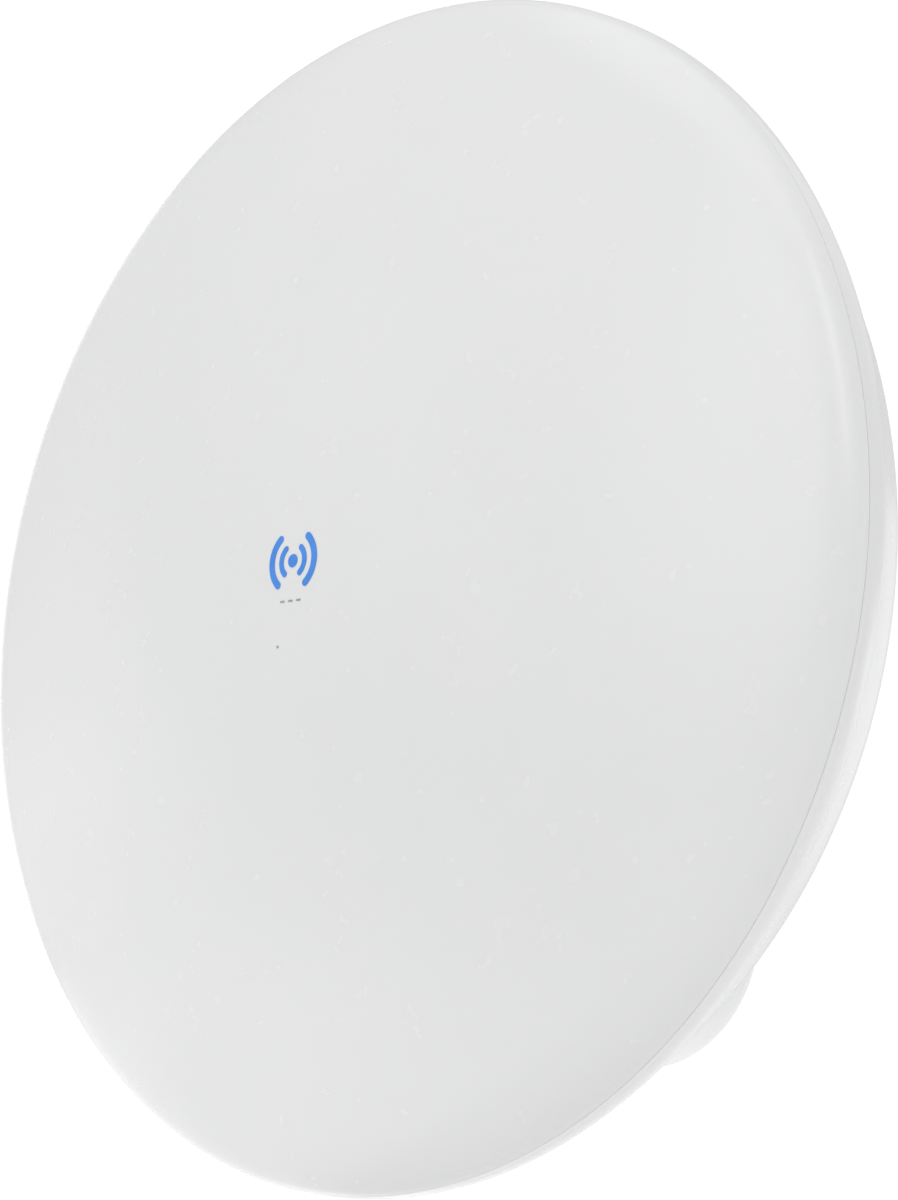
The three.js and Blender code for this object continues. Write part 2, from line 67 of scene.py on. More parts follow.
def material(name, low, high, rough=(0.4, 0.5), metal=0.0, blotch=18.0, grain=900.0, bump=0.00002,
             bump_scale=2600.0, wear=None, wear_at=0.56, wear_amount=0.5, coat=0.0, stretch=(1, 1, 1), ior=1.46,
             subsurface=0.0, transmission=0.0, speck=None):
    m = bpy.data.materials.new(name)
    m.use_nodes = True
    nt = m.node_tree
    nt.nodes.clear()
    link = nt.links.new
    out = node(nt, "ShaderNodeOutputMaterial")
    bsdf = node(nt, "ShaderNodeBsdfPrincipled")
    link(bsdf.outputs["BSDF"], out.inputs["Surface"])
    bsdf.inputs["Metallic"].default_value = metal
    bsdf.inputs["IOR"].default_value = ior
    bsdf.inputs["Coat Weight"].default_value = coat
    bsdf.inputs["Coat Roughness"].default_value = 0.12
    bsdf.inputs["Subsurface Weight"].default_value = subsurface
    bsdf.inputs["Subsurface Radius"].default_value = (0.004, 0.003, 0.002)
    bsdf.inputs["Transmission Weight"].default_value = transmission
    tc = node(nt, "ShaderNodeTexCoord")
    mp = node(nt, "ShaderNodeMapping")
    mp.inputs["Scale"].default_value = stretch
    link(tc.outputs["Object"], mp.inputs["Vector"])
    big = node(nt, "ShaderNodeTexNoise")
    big.inputs["Scale"].default_value = blotch
    big.inputs["Detail"].default_value = 4.0
    link(mp.outputs["Vector"], big.inputs["Vector"])
    fine = node(nt, "ShaderNodeTexNoise")
    fine.inputs["Scale"].default_value = grain
    fine.inputs["Detail"].default_value = 3.0
    link(mp.outputs["Vector"], fine.inputs["Vector"])
    tone = node(nt, "ShaderNodeMapRange")
    tone.inputs["From Min"].default_value = 0.35
    tone.inputs["From Max"].default_value = 0.65
    link(big.outputs["Fac"], tone.inputs["Value"])
    base = node(nt, "ShaderNodeMix", data_type="RGBA")
    base.inputs[6].default_value = rgb(*low)
    base.inputs[7].default_value = rgb(*high)
    link(tone.outputs["Result"], base.inputs[0])
    colour = base.outputs[2]
    if speck:
        dots = node(nt, "ShaderNodeTexVoronoi", feature="F1")
        dots.inputs["Scale"].default_value = grain * 0.35
        link(mp.outputs["Vector"], dots.inputs["Vector"])
        near = node(nt, "ShaderNodeMapRange")
        near.inputs["From Min"].default_value = 0.10
        near.inputs["From Max"].default_value = 0.16
        near.inputs["To Min"].default_value = 0.35
        near.inputs["To Max"].default_value = 0.0
        link(dots.outputs["Distance"], near.inputs["Value"])
        mixed = node(nt, "ShaderNodeMix", data_type="RGBA")
        mixed.inputs[7].default_value = rgb(*speck)
        link(colour, mixed.inputs[6])
        link(near.outputs["Result"], mixed.inputs[0])
        colour = mixed.outputs[2]
    if wear:
        geo = node(nt, "ShaderNodeNewGeometry")
        edge = node(nt, "ShaderNodeMapRange")
        edge.inputs["From Min"].default_value = wear_at - 0.02
        edge.inputs["From Max"].default_value = wear_at + 0.10
        link(geo.outputs["Pointiness"], edge.inputs["Value"])
        broken = node(nt, "ShaderNodeMath", operation="MULTIPLY")
        link(edge.outputs["Result"], broken.inputs[0])
        link(fine.outputs["Fac"], broken.inputs[1])
        much = node(nt, "ShaderNodeMath", operation="MULTIPLY", use_clamp=True)
        much.inputs[1].default_value = wear_amount * 2
        link(broken.outputs[0], much.inputs[0])
        worn = node(nt, "ShaderNodeMix", data_type="RGBA")
        worn.inputs[7].default_value = rgb(*wear)
        link(colour, worn.inputs[6])
        link(much.outputs[0], worn.inputs[0])
        colour = worn.outputs[2]
    link(colour, bsdf.inputs["Base Color"])
    gloss = node(nt, "ShaderNodeMapRange")
    gloss.inputs["From Min"].default_value = 0.3
    gloss.inputs["From Max"].default_value = 0.7
    gloss.inputs["To Min"].default_value = rough[0]
    gloss.inputs["To Max"].default_value = rough[1]
    link(fine.outputs["Fac"], gloss.inputs["Value"])
    link(gloss.outputs["Result"], bsdf.inputs["Roughness"])
    relief = node(nt, "ShaderNodeTexNoise")
    relief.inputs["Scale"].default_value = bump_scale
    relief.inputs["Detail"].default_value = 2.0
    link(mp.outputs["Vector"], relief.inputs["Vector"])
    bp = node(nt, "ShaderNodeBump")
    bp.inputs["Strength"].default_value = 1.0
    bp.inputs["Distance"].default_value = bump
    link(relief.outputs["Fac"], bp.inputs["Height"])
    link(bp.outputs["Normal"], bsdf.inputs["Normal"])
    return m


M = {
    "white": material("moulded_white", (0.775, 0.778, 0.780), (0.795, 0.797, 0.798), rough=(0.255, 0.275), blotch=9,
                      grain=120, bump=0.0000006, bump_scale=1200, wear=(0.84, 0.84, 0.84), wear_amount=0.25),
    "white_pod": material("moulded_white_textured", (0.765, 0.768, 0.770), (0.79, 0.792, 0.793), rough=(0.42, 0.52),
                          blotch=14, grain=500, bump=0.000008, bump_scale=2400, wear=(0.84, 0.84, 0.84), wear_amount=0.25),
    "blue": material("blue_print", (0.055, 0.245, 0.745), (0.075, 0.285, 0.80), rough=(0.35, 0.45), blotch=120, grain=2500,
                     bump=0.000006),
    "grey": material("grey_print", (0.30, 0.31, 0.33), (0.36, 0.37, 0.39), rough=(0.4, 0.5), blotch=150, grain=2500,
                     bump=0.000006),
    "rubber": material("black_rubber", (0.018, 0.018, 0.019), (0.035, 0.035, 0.036), rough=(0.62, 0.8), blotch=60,
                       grain=1400, bump=0.00005, bump_scale=2500, wear=(0.09, 0.09, 0.09), wear_amount=0.4),
    "alu": material("spun_aluminium", (0.66, 0.67, 0.68), (0.76, 0.765, 0.77), rough=(0.28, 0.42), metal=1.0, blotch=20,
                    grain=500, bump=0.00003, bump_scale=700, stretch=(1, 6, 1), wear=(0.85, 0.85, 0.86)),
    "feed": material("feed_plastic", (0.74, 0.72, 0.64), (0.80, 0.78, 0.71), rough=(0.4, 0.5), blotch=40, grain=900,
                     bump=0.00002),
    "board": material("solder_mask", (0.012, 0.085, 0.042), (0.02, 0.12, 0.06), rough=(0.25, 0.4), blotch=160, grain=1500,
                      bump=0.00002, coat=0.4, speck=(0.55, 0.45, 0.2)),
    "tin": material("tin_plate", (0.56, 0.565, 0.57), (0.68, 0.685, 0.69), rough=(0.22, 0.4), metal=1.0, blotch=90,
                    grain=1200, bump=0.00002, wear=(0.8, 0.8, 0.8)),
    "pad": material("thermal_rubber", (0.30, 0.36, 0.43), (0.38, 0.45, 0.52), rough=(0.7, 0.85), blotch=90, grain=1500,
                    bump=0.00005),
    "ceramic": material("patch_ceramic", (0.55, 0.49, 0.36), (0.64, 0.57, 0.43), rough=(0.4, 0.55), blotch=150, grain=2000,
                        bump=0.00002),
    "clear": material("light_guide", (0.80, 0.83, 0.85), (0.86, 0.88, 0.9), rough=(0.08, 0.16), blotch=100, grain=1500,
                      bump=0.00001, transmission=0.6),
    "dark": material("dark_plastic", (0.04, 0.04, 0.043), (0.065, 0.065, 0.07), rough=(0.4, 0.55), blotch=90, grain=1500,
                     bump=0.00003, wear=(0.14, 0.14, 0.14)),
    "paint": material("powder_coat", (0.665, 0.675, 0.685), (0.715, 0.722, 0.73), rough=(0.38, 0.55), metal=0.0,
                      blotch=45, grain=1100, bump=0.00008, bump_scale=1500, wear=(0.52, 0.53, 0.55), wear_amount=0.45,
                      wear_at=0.58),
    "steel": material("stainless", (0.54, 0.545, 0.55), (0.60, 0.605, 0.61), rough=(0.24, 0.34), metal=1.0, blotch=90,
                      grain=1300, bump=0.000006, bump_scale=1800, wear=(0.74, 0.74, 0.75), wear_amount=0.5),
    "band": material("rolled_stainless", (0.55, 0.555, 0.56), (0.61, 0.615, 0.62), rough=(0.2, 0.36), metal=1.0, blotch=70,
                     grain=900, bump=0.000004, bump_scale=1500, wear=(0.76, 0.76, 0.77), wear_amount=0.4,
                     stretch=(0.08, 0.08, 3.0)),
}


# ------------------------------------------------------------------ mesh helpers (mm in, metres out)
def new_mesh(name, verts, faces, sharp=32.0):
    me = bpy.data.meshes.new(name)
    me.from_pydata([(x / 1000, y / 1000, z / 1000) for x, y, z in verts], [], faces)
    me.validate()
    me.update()
    finish_mesh(me, sharp)
    return me


def finish_mesh(me, sharp=32.0):
    for p in me.polygons:
        p.use_smooth = True
    me.set_sharp_from_angle(angle=math.radians(sharp))


def raw(name, verts, faces):
    o = bpy.data.objects.new(name, new_mesh(name, verts, faces))
    scene.collection.objects.link(o)
    return o


def lathe(name, profile, seg=None, dish=True, axis="Y", at=(0, 0, 0), closed=True):
    """profile of (radius, distance along the axis); it starts and ends on the axis, or closes on itself."""
    seg = seg or SEG
    ring, verts, faces = [], [], []
    pts = list(profile)
    if closed and pts[0][0] > 1e-6:
        pts = pts[:-1] if pts[0] == pts[-1] else pts
    for r, y in pts:
        if r < 1e-6:
            ring.append([len(verts)])
            verts.append((0, y, 0))
        else:
            ring.append(list(range(len(verts), len(verts) + seg)))
            for i in range(seg):
                t = 2 * math.pi * i / seg
                verts.append((r * math.cos(t), y, r * math.sin(t)))
    n = len(ring)
    last = n if pts[0][0] > 1e-6 else n - 1
    for k in range(last):
        a, b = ring[k], ring[(k + 1) % n]
        for i in range(seg):
            j = (i + 1) % seg
            if len(a) == 1 and len(b) == 1:
                continue
            if len(a) == 1:
                faces.append((a[0], b[i], b[j]))
            elif len(b) == 1:
                faces.append((a[i], b[0], a[j]))
            else:
                faces.append((a[i], b[i], b[j], a[j]))
    if axis == "X":
        verts = [(y, x, z) for x, y, z in verts]
    if axis == "Z":
        verts = [(x, z, y) for x, y, z in verts]
    dx, dy, dz = at
    if dish:
        dy, dz = dy - MAST_BACK, dz + AXIS_UP
    verts = [(x + dx, y + dy, z + dz) for x, y, z in verts]
    o = raw(name, verts, faces)
    outward(o)
    return o


def outward(o):
    import bmesh
    bm = bmesh.new()
    bm.from_mesh(o.data)
    bmesh.ops.remove_doubles(bm, verts=bm.verts, dist=1e-7)
    bmesh.ops.recalc_face_normals(bm, faces=bm.faces)
    if bm.calc_volume(signed=True) < 0:
        bmesh.ops.reverse_faces(bm, faces=bm.faces)
    bm.to_mesh(o.data)
    bm.free()
    finish_mesh(o.data)


def rounded(points, n=5):
    """Corners of a closed or open 2D path rounded: points are (a, b) or (a, b, radius)."""
    out = []
    k = len(points)
    for i, p in enumerate(points):
        r = p[2] if len(p) > 2 else 0
        if r <= 0:
            out.append((p[0], p[1]))
            continue
        a, b, c = Vector(points[i - 1][:2]), Vector(p[:2]), Vector(points[(i + 1) % k][:2])
        u, v = (a - b).normalized(), (c - b).normalized()
        half = u.angle(v) / 2
        d = min(r / math.tan(half), (a - b).length * 0.49, (c - b).length * 0.49)
        r = d * math.tan(half)
        centre = b + (u + v).normalized() * (r / math.sin(half))
        s, e = b + u * d - centre, b + v * d - centre
        a0 = math.atan2(s.y, s.x)
        turn = math.atan2(s.x * e.y - s.y * e.x, s.dot(e))
        for q in range(n + 1):
            t = a0 + turn * q / n
            out.append((centre.x + r * math.cos(t), centre.y + r * math.sin(t)))
    return out


def circle(r, a=0.0, b=0.0, n=48, turn=0.0):
    return [(a + r * math.cos(2 * math.pi * i / n + turn), b + r * math.sin(2 * math.pi * i / n + turn)) for i in range(n)]


def plate(name, outline, holes, lo, hi, axis, bevel=0.5, res=2, dish=False):
    """A flat piece with rounded edges: outline and holes lie across the axis, from lo to hi along it."""
    cu = bpy.data.curves.new(name, "CURVE")
    cu.dimensions = "2D"
    cu.fill_mode = "BOTH"
    for pts in [outline, *holes]:
        sp = cu.splines.new("POLY")
        sp.points.add(len(pts) - 1)
        for q, (a, b) in zip(sp.points, pts):
            q.co = (a / 1000, b / 1000, 0, 1)
        sp.use_cyclic_u = True
    cu.extrude = (hi - lo) / 2000 - bevel / 1000
    cu.bevel_depth = bevel / 1000
    cu.bevel_resolution = res
    cu.offset = -bevel / 1000
    tmp = bpy.data.objects.new(name + "_c", cu)
    scene.collection.objects.link(tmp)
    dg = bpy.context.evaluated_depsgraph_get()
    me = bpy.data.meshes.new_from_object(tmp.evaluated_get(dg))
    bpy.data.objects.remove(tmp)
    bpy.data.curves.remove(cu)
    mid = (hi + lo) / 2000
    oy, oz = (-MAST_BACK / 1000, AXIS_UP / 1000) if dish else (0, 0)
    if axis == "X":  # (a, b) = (y, z)
        m = Matrix(((0, 0, 1, mid), (1, 0, 0, oy), (0, 1, 0, oz), (0, 0, 0, 1)))
    elif axis == "Y":  # (a, b) = (x, z)
        m = Matrix(((1, 0, 0, 0), (0, 0, -1, mid + oy), (0, 1, 0, oz), (0, 0, 0, 1)))
    else:  # (a, b) = (x, y)
        m = Matrix(((1, 0, 0, 0), (0, 1, 0, oy), (0, 0, 1, mid + oz), (0, 0, 0, 1)))
    me.transform(m)
    me.name = name
    o = bpy.data.objects.new(name, me)
    scene.collection.objects.link(o)
    outward(o)
    return o


def baked(o, sharp=32.0):
    """The object's modifiers are made part of its mesh."""
    dg = bpy.context.evaluated_depsgraph_get()
    me = bpy.data.meshes.new_from_object(o.evaluated_get(dg))
    o.modifiers.clear()
    o.data = me
    finish_mesh(me, sharp)
    return o


def boolean(o, tools, op="DIFFERENCE"):
    for t in tools:
        md = o.modifiers.new("b", "BOOLEAN")
        md.operation = op
        md.solver = "EXACT"
        md.object = t
    baked(o)
    for t in tools:
        bpy.data.objects.remove(t)
    return o


def bevelled(o, width=0.35, segments=2, angle=35.0):
    md = o.modifiers.new("v", "BEVEL")
    md.width = width / 1000
    md.segments = segments
    md.limit_method = "ANGLE"
    md.angle_limit = math.radians(angle)
    md.use_clamp_overlap = True
    baked(o, 40.0)
    return o


def joined(name, parts):
    """Loose pieces of one moulding, side by side in one mesh."""
    import bmesh
    bm = bmesh.new()
    for p in parts:
        bm.from_mesh(p.data)
    me = bpy.data.meshes.new(name)
    bm.to_mesh(me)
    bm.free()
    for p in parts:
        bpy.data.objects.remove(p)
    o = bpy.data.objects.new(name, me)
    scene.collection.objects.link(o)
    finish_mesh(me)
    return o


def rod(name, r, a, b, axis, at, n=48, bevel=0.3, dish=False):
    prof = [(0, a), (r - bevel, a), (r, a + bevel), (r, b - bevel), (r - bevel, b), (0, b)]
    return lathe(name, prof, seg=n, dish=dish, axis=axis, at=at)


def part(o, name, mat, body, slot, *nodes):
    o.name = name
    o.data.name = name
    o.data.materials.clear()
    o.data.materials.append(M[mat])
    for p in o.data.polygons:
        p.material_index = 0
    if nodes:
        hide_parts(*nodes)
    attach(o, body)
    return o


# ------------------------------------------------------------------ camera
yaw, pitch, roll = 0.775968954, -0.183513665, 0.0593380876
b = Vector((math.sin(yaw) * math.cos(pitch), -math.cos(yaw) * math.cos(pitch), math.sin(pitch)))
r = Vector((0, 0, 1)).cross(b).normalized()
u = b.cross(r)
r2 = r * math.cos(roll) + u * math.sin(roll)
u2 = u * math.cos(roll) - r * math.sin(roll)
eye = b * 800 - r2 * -23.1695305 - u2 * 5.31331714 + Vector((0, -MAST_BACK, AXIS_UP))
cam_data = bpy.data.cameras.new("camera")
cam_data.sensor_width = 36.0
cam_data.sensor_fit = "AUTO"
cam_data.lens = 2991.69326 * 800 / 900 / 1200 * 36.0
cam_data.dof.use_dof = False
cam_data.clip_start, cam_data.clip_end = 0.01, 50
cam = bpy.data.objects.new("camera", cam_data)
scene.collection.objects.link(cam)
cam.matrix_world = Matrix((
    (r2.x, u2.x, b.x, eye.x / 1000), (r2.y, u2.y, b.y, eye.y / 1000), (r2.z, u2.z, b.z, eye.z / 1000), (0, 0, 0, 1)))
scene.camera = cam

# ------------------------------------------------------------------ studio
scene.view_settings.view_transform = "Standard"
scene.view_settings.look = "None"
world = bpy.data.worlds.new("tent")
scene.world = world
world.use_nodes = True
wn = world.node_tree
wn.nodes.clear()
wo = node(wn, "ShaderNodeOutputWorld")
seen, fill = node(wn, "ShaderNodeBackground"), node(wn, "ShaderNodeBackground")
seen.inputs["Color"].default_value = rgb(1, 1, 1)
seen.inputs["Strength"].default_value = 1.05
fill.inputs["Color"].default_value = rgb(1, 1, 1)
fill.inputs["Strength"].default_value = 0.65
mixw = node(wn, "ShaderNodeMixShader")
lp = node(wn, "ShaderNodeLightPath")
wn.links.new(lp.outputs["Is Camera Ray"], mixw.inputs["Fac"])
wn.links.new(fill.outputs["Background"], mixw.inputs[1])
wn.links.new(seen.outputs["Background"], mixw.inputs[2])
wn.links.new(mixw.outputs["Shader"], wo.inputs["Surface"])


def softbox(name, place, aim, w, h, power, spread=180):
    la = bpy.data.lights.new(name, "AREA")
    la.shape = "RECTANGLE"
    la.size, la.size_y = w, h
    la.energy = power
    la.spread = math.radians(spread)
    o = bpy.data.objects.new(name, la)
    scene.collection.objects.link(o)
    o.location = place
    o.rotation_mode = "QUATERNION"
    o.rotation_quaternion = (Vector(aim) - Vector(place)).to_track_quat("-Z", "Y")
    o.visible_camera = False
    return o


HUB = (0, -0.2, -0.02)
softbox("front_up", (0.072, -2.253, 0.768), HUB, 1.2, 1.2, 5.0)
softbox("strip_right", (1.274, -1.474, 1.242), HUB, 0.3, 1.2, 3.2)
softbox("left_low", (-2.122, -0.769, -0.135), HUB, 1.4, 0.5, 0.7)
softbox("left_back", (-1.864, 0.876, 0.437), HUB, 1.4, 1.4, 6.5)
softbox("top", (0.0, -0.832, 2.087), HUB, 1.8, 1.8, 7.6)
softbox("top_back", (0.564, 1.304, 1.484), HUB, 1.4, 1.4, 2.0)
softbox("right", (2.19, -0.124, 0.172), HUB, 0.8, 1.2, 1.2)
softbox("back_right", (0.822, 1.835, -0.173), HUB, 1.0, 0.6, 1.6)
softbox("back", (0.0, 1.999, 0.057), HUB, 1.2, 1.0, 1.9)
softbox("top_front", (0.194, -1.75, 1.53), HUB, 1.2, 1.2, 1.8)
softbox("right_front_up", (1.434, -1.43, 1.107), HUB, 1.0, 1.0, 1.8)
softbox("back_right_low", (1.365, 1.517, -0.196), HUB, 1.2, 0.6, 2.4)
softbox("glow_left", (-0.75, -0.45, -0.345), (-0.75, -0.45, 1.0), 1.2, 1.2, 2.5)
softbox("glow_back", (0.35, 0.45, -0.345), (0.35, 0.45, 1.0), 1.2, 1.2, 2.0)

floor_mat = material("floor_white", (0.86, 0.86, 0.86), (0.88, 0.88, 0.88), rough=(0.7, 0.8), blotch=2, grain=30, bump=0.00001)
fl = bpy.data.meshes.new("floor")
disc = [(1.8 * math.cos(2 * math.pi * i / 96), 1.8 * math.sin(2 * math.pi * i / 96), -0.36) for i in range(96)]
fl.from_pydata(disc, [], [tuple(range(96))])
floor = bpy.data.objects.new("floor", fl)
scene.collection.objects.link(floor)
fl.materials.append(floor_mat)

DISH, CLAMP, COVER, BUTTON = "dish_unit", "mast_clamp", "cover", "button"


# ------------------------------------------------------------------ radome
def dome(rr):
    """Distance in front of the parting line at radius rr: a shallow cap, then an elliptical shoulder."""
    cut, slope = 163.3, 0.265
    if rr <= cut:
        return DOME_H - rr * rr * slope / (2 * cut)
    c = max(-1.0, min(1.0, 1 - (SEAM_R - rr) / 46.01))
    return (15.32 * math.sqrt(max(0.0, 1 - c * c)) - 1.05)


def radome_profile():
    outer = [(rr, -dome(rr)) for rr in (0, 8, 18, 30, 44, 58, 72, 86, 100, 112, 124, 134, 143, 151, 158)]
    top = DOME_H - 163.3 * 0.265 / 2
    t0 = math.asin((top + 1.05) / 15.32)
    n = 22
    for i in range(n + 1):
        t = t0 * (1 - i / n)
        outer.append((SEAM_R - 46.01 * (1 - math.cos(t)), -(15.32 * math.sin(t) - 1.05)))
    outer = [p for p in outer if p[1] < -0.4]
    outer += [(SEAM_R - 0.015, -0.24), (SEAM_R - 0.08, -0.12), (SEAM_R - 0.25, -0.065)]
    inner = [(178.0, -0.065), (178.0, 3.7), (177.7, 4.0), (176.6, 4.0), (176.3, 3.7), (176.3, -1.6), (173.6, -3.6)]
    inner += [(rr, -dome(rr) + 2.45) for rr in (168, 163, 156, 146, 132, 114, 92, 66, 36)]
    inner += [(0, 2.4 - DOME_H)]
    return outer + inner


part(lathe("front_radome_v", radome_profile()), "radome_shell", "white", DISH, "white_housing", "front_radome")
part(lathe("seal_v", rounded([(176.45, 4.35, 0.4), (177.85, 4.35, 0.4), (177.85, 5.75, 0.4), (176.45, 5.75, 0.4)], 4)),
     "radome_gasket", "rubber", DISH, "black_rubber", "radome_seal")


# ------------------------------------------------------------------ emblem on the radome's centre
def decal(name, outline, holes, mat, lift=0.03, thick=0.10):
    """A printed mark: a thin skin that follows the dome."""
    o = plate(name, outline, holes, -0.5, 0.5, "Y", bevel=0.0, res=0)
    import bmesh
    bm = bmesh.new()
    bm.from_mesh(o.data)
    long = [e for e in bm.edges if e.calc_length() > 0.0016]
    bmesh.ops.subdivide_edges(bm, edges=long, cuts=2)
    bmesh.ops.triangulate(bm, faces=bm.faces)
    for v in bm.verts:
        x, z = v.co.x * 1000, v.co.z * 1000
        h = dome(math.hypot(x, z)) + (lift + thick if v.co.y < 0 else lift)
        v.co = ((x) / 1000, (-h - MAST_BACK) / 1000, (z + AXIS_UP) / 1000)
    bm.to_mesh(o.data)
    bm.free()
    outward(o)
    return part(o, name, mat, DISH, "white_housing")


def arc_band(rad, thick, a0, a1, n=20):
    """A curved stroke with round ends, in (x, z)."""
    pts = []
    r0, r1, q = rad - thick / 2, rad + thick / 2, thick / 2
    for i in range(n + 1):
        t = math.radians(a0 + (a1 - a0) * i / n)
        pts.append((r1 * math.cos(t), r1 * math.sin(t)))
    for k in range(1, 6):
        s = math.radians(a1) + math.pi * k / 6
        c = math.radians(a1)
        pts.append((rad * math.cos(c) + q * math.cos(s), rad * math.sin(c) + q * math.sin(s)))
    for i in range(n + 1):
        t = math.radians(a1 + (a0 - a1) * i / n)
        pts.append((r0 * math.cos(t), r0 * math.sin(t)))
    for k in range(1, 6):
        s = math.radians(a0) + math.pi + math.pi * k / 6
        c = math.radians(a0)
        pts.append((rad * math.cos(c) + q * math.cos(s), rad * math.sin(c) + q * math.sin(s)))
    return pts


decal("emblem_dot", circle(2.0, 0, 0.6, 28), [], "blue")
for side, mid in (("right", 0), ("left", 180)):
    for ring_name, rad, th in (("inner", 4.9, 1.9), ("outer", 9.0, 2.3)):
        decal("emblem_" + ring_name + "_" + side, [(x, z + 0.6) for x, z in arc_band(rad, th, mid - 50, mid + 50)], [], "blue")
for i in range(3):
    x = -3.4 + i * 3.4
    decal(f"emblem_dash_{i + 1}", rounded([(x - 0.95, -11.6, 0.25), (x + 0.95, -11.6, 0.25), (x + 0.95, -11.05, 0.25), (x - 0.95, -11.05, 0.25)], 3), [], "grey")
decal("emblem_pin", circle(0.42, -4.6, -24.6, 16), [], "grey")


# ------------------------------------------------------------------ rear housing
def spline(pts, n=5):
    """Catmull-Rom through 2D points."""
    out = []
    for i in range(len(pts) - 1):
        p0, p1, p2, p3 = pts[max(0, i - 1)], pts[i], pts[i + 1], pts[min(len(pts) - 1, i + 2)]
        for k in range(n):
            t = k / n
            out.append(tuple(0.5 * ((2 * p1[j]) + (-p0[j] + p2[j]) * t + (2 * p0[j] - 5 * p1[j] + 4 * p2[j] - p3[j]) * t * t
                                    + (-p0[j] + 3 * p1[j] - 3 * p2[j] + p3[j]) * t ** 3) for j in (0, 1)))
    out.append(pts[-1])
    return out


BACK = [(172.7, 20.5), (166.2, 33.4), (155.1, 46.2), (138, 58), (110, 68.7), (75, 76.6), (45, 79.8), (24, 81)]
back_outer = spline([(175.6, 11.9), *BACK], 5)


def back_at(rr):
    """Where the housing's rear face lies at radius rr."""
    best = back_outer[-1][1]
    for (ra, ya), (rb, yb) in zip(back_outer, back_outer[1:]):
        if rb <= rr <= ra:
            return ya + (yb - ya) * (ra - rr) / (ra - rb)
    return best


def housing_profile():
    rim = [(178.4, 0.065), (SEAM_R - 0.25, 0.065), (SEAM_R - 0.08, 0.12), (SEAM_R - 0.015, 0.24)]
    rim += spline([(SEAM_R, 1.2), (180.95, 3.2), (181.0, 5.0), (180.7, 6.8)], 4)
    rim += [(180.0, 8.3), (178.9, 9.6), (177.5, 10.7), (176.2, 11.3)]
    outer = back_outer
    inner = [(r_ - 2.0 * c_, y_ - 2.6 * s_) for r_, y_, c_, s_ in (
        (24, 81, 0, 1), (45, 79.8, 0, 1), (75, 76.6, 0.2, 1), (110, 68.7, 0.3, 1), (138, 58, 0.7, 0.9), (155, 46.2, 1.0, 0.8),
        (166, 33.4, 1.2, 0.5), (172.6, 20.5, 1.3, 0.3))]
    lip = [(171.8, 11.0), (170.5, 8.6), (170.5, 6.1), (178.4, 6.1)]
    return rim + outer + inner + lip


def stadium(rr, top, bottom, n=40):
    pts = [(rr * math.cos(math.pi * i / n), top + rr * math.sin(math.pi * i / n)) for i in range(n + 1)]
    pts += [(rr * math.cos(math.pi + math.pi * i / n), bottom + rr * math.sin(math.pi + math.pi * i / n)) for i in range(n + 1)]
    return pts


def dense(pts, step=4.0):
    out = []
    for i, p in enumerate(pts):
        q = pts[(i + 1) % len(pts)]
        d = math.dist(p, q)
        k = max(1, int(d / step))
        for j in range(k):
            out.append((p[0] + (q[0] - p[0]) * j / k, p[1] + (q[1] - p[1]) * j / k))
    return out


def loft(name, rings, dish=True, caps=True):
    """Rings of equal length, each a list of (x, y, z), closed at both ends."""
    n = len(rings[0])
    verts = [v for ring in rings for v in ring]
    faces = []
    for k in range(len(rings) - 1):
        for i in range(n):
            j = (i + 1) % n
            faces.append((k * n + i, k * n + j, (k + 1) * n + j, (k + 1) * n + i))
    if caps:
        faces.append(tuple(range(n)))
        faces.append(tuple((len(rings) - 1) * n + i for i in range(n)))
    else:
        k = len(rings) - 1
        for i in range(n):
            j = (i + 1) % n
            faces.append((k * n + i, k * n + j, j, i))
    if dish:
        verts = [(x, y - MAST_BACK, z + AXIS_UP) for x, y, z in verts]
    o = raw(name, verts, faces)
    outward(o)
    return o


def offset_stadium(d, n=40):
    return dense(stadium(POD_R + d, POD_TOP, POD_BOTTOM, n), 4.0)


COLLAR_N = len(dense(stadium(POD_R, POD_TOP, POD_BOTTOM), 4.0))


def ring_at(d, yfun):
    """The pod's outline offset outwards by d; the same number of points whatever d is."""
    base = dense(stadium(POD_R, POD_TOP, POD_BOTTOM), 4.0)
    out = []
    for x, z in base:
        c = POD_TOP if z > POD_TOP else (POD_BOTTOM if z < POD_BOTTOM else z)
        nx, nz = x, z - c
        l = math.hypot(nx, nz)
        X, Z = x + d * nx / l, z + d * nz / l
        out.append((X, yfun(X, Z), Z))
    return out


def collar():
    flare = 9.0
    rings = []
    deck_in = ring_at(-9.0, lambda x, z: POD_DECK - 3)
    rings.append(deck_in)
    rings.append(ring_at(-9.0, lambda x, z: POD_DECK - 0.4))
    rings.append(ring_at(-8.6, lambda x, z: POD_DECK))
    rings.append(ring_at(-1.4, lambda x, z: POD_DECK))
    rings.append(ring_at(-0.6, lambda x, z: POD_DECK - 0.2))
    rings.append(ring_at(-0.15, lambda x, z: POD_DECK - 0.65))
    rings.append(ring_at(0.0, lambda x, z: POD_DECK - 1.4))
    for i in range(0, 9):
        t = i / 8 * math.pi / 2
        d = flare * (1 - math.cos(t))
        def y(x, z, t=t):
            base = min(back_at(math.hypot(x, z)), POD_DECK - 1.5)
            lift = min(flare, max(0.5, POD_DECK - 1.6 - base)) * (1 - math.sin(t))
            return base + lift
        rings.append(ring_at(d, y))
    rings.append(ring_at(flare + 0.4, lambda x, z: back_at(math.hypot(x, z)) - 0.25))
    rings.append(ring_at(flare, lambda x, z: back_at(math.hypot(x, z)) - 1.3))
    rings.append(ring_at(-3.0, lambda x, z: back_at(math.hypot(x, z)) - 1.3))
    rings.append(ring_at(-3.0, lambda x, z: POD_DECK - 3.0))
    return loft("collar_v", rings, caps=False)


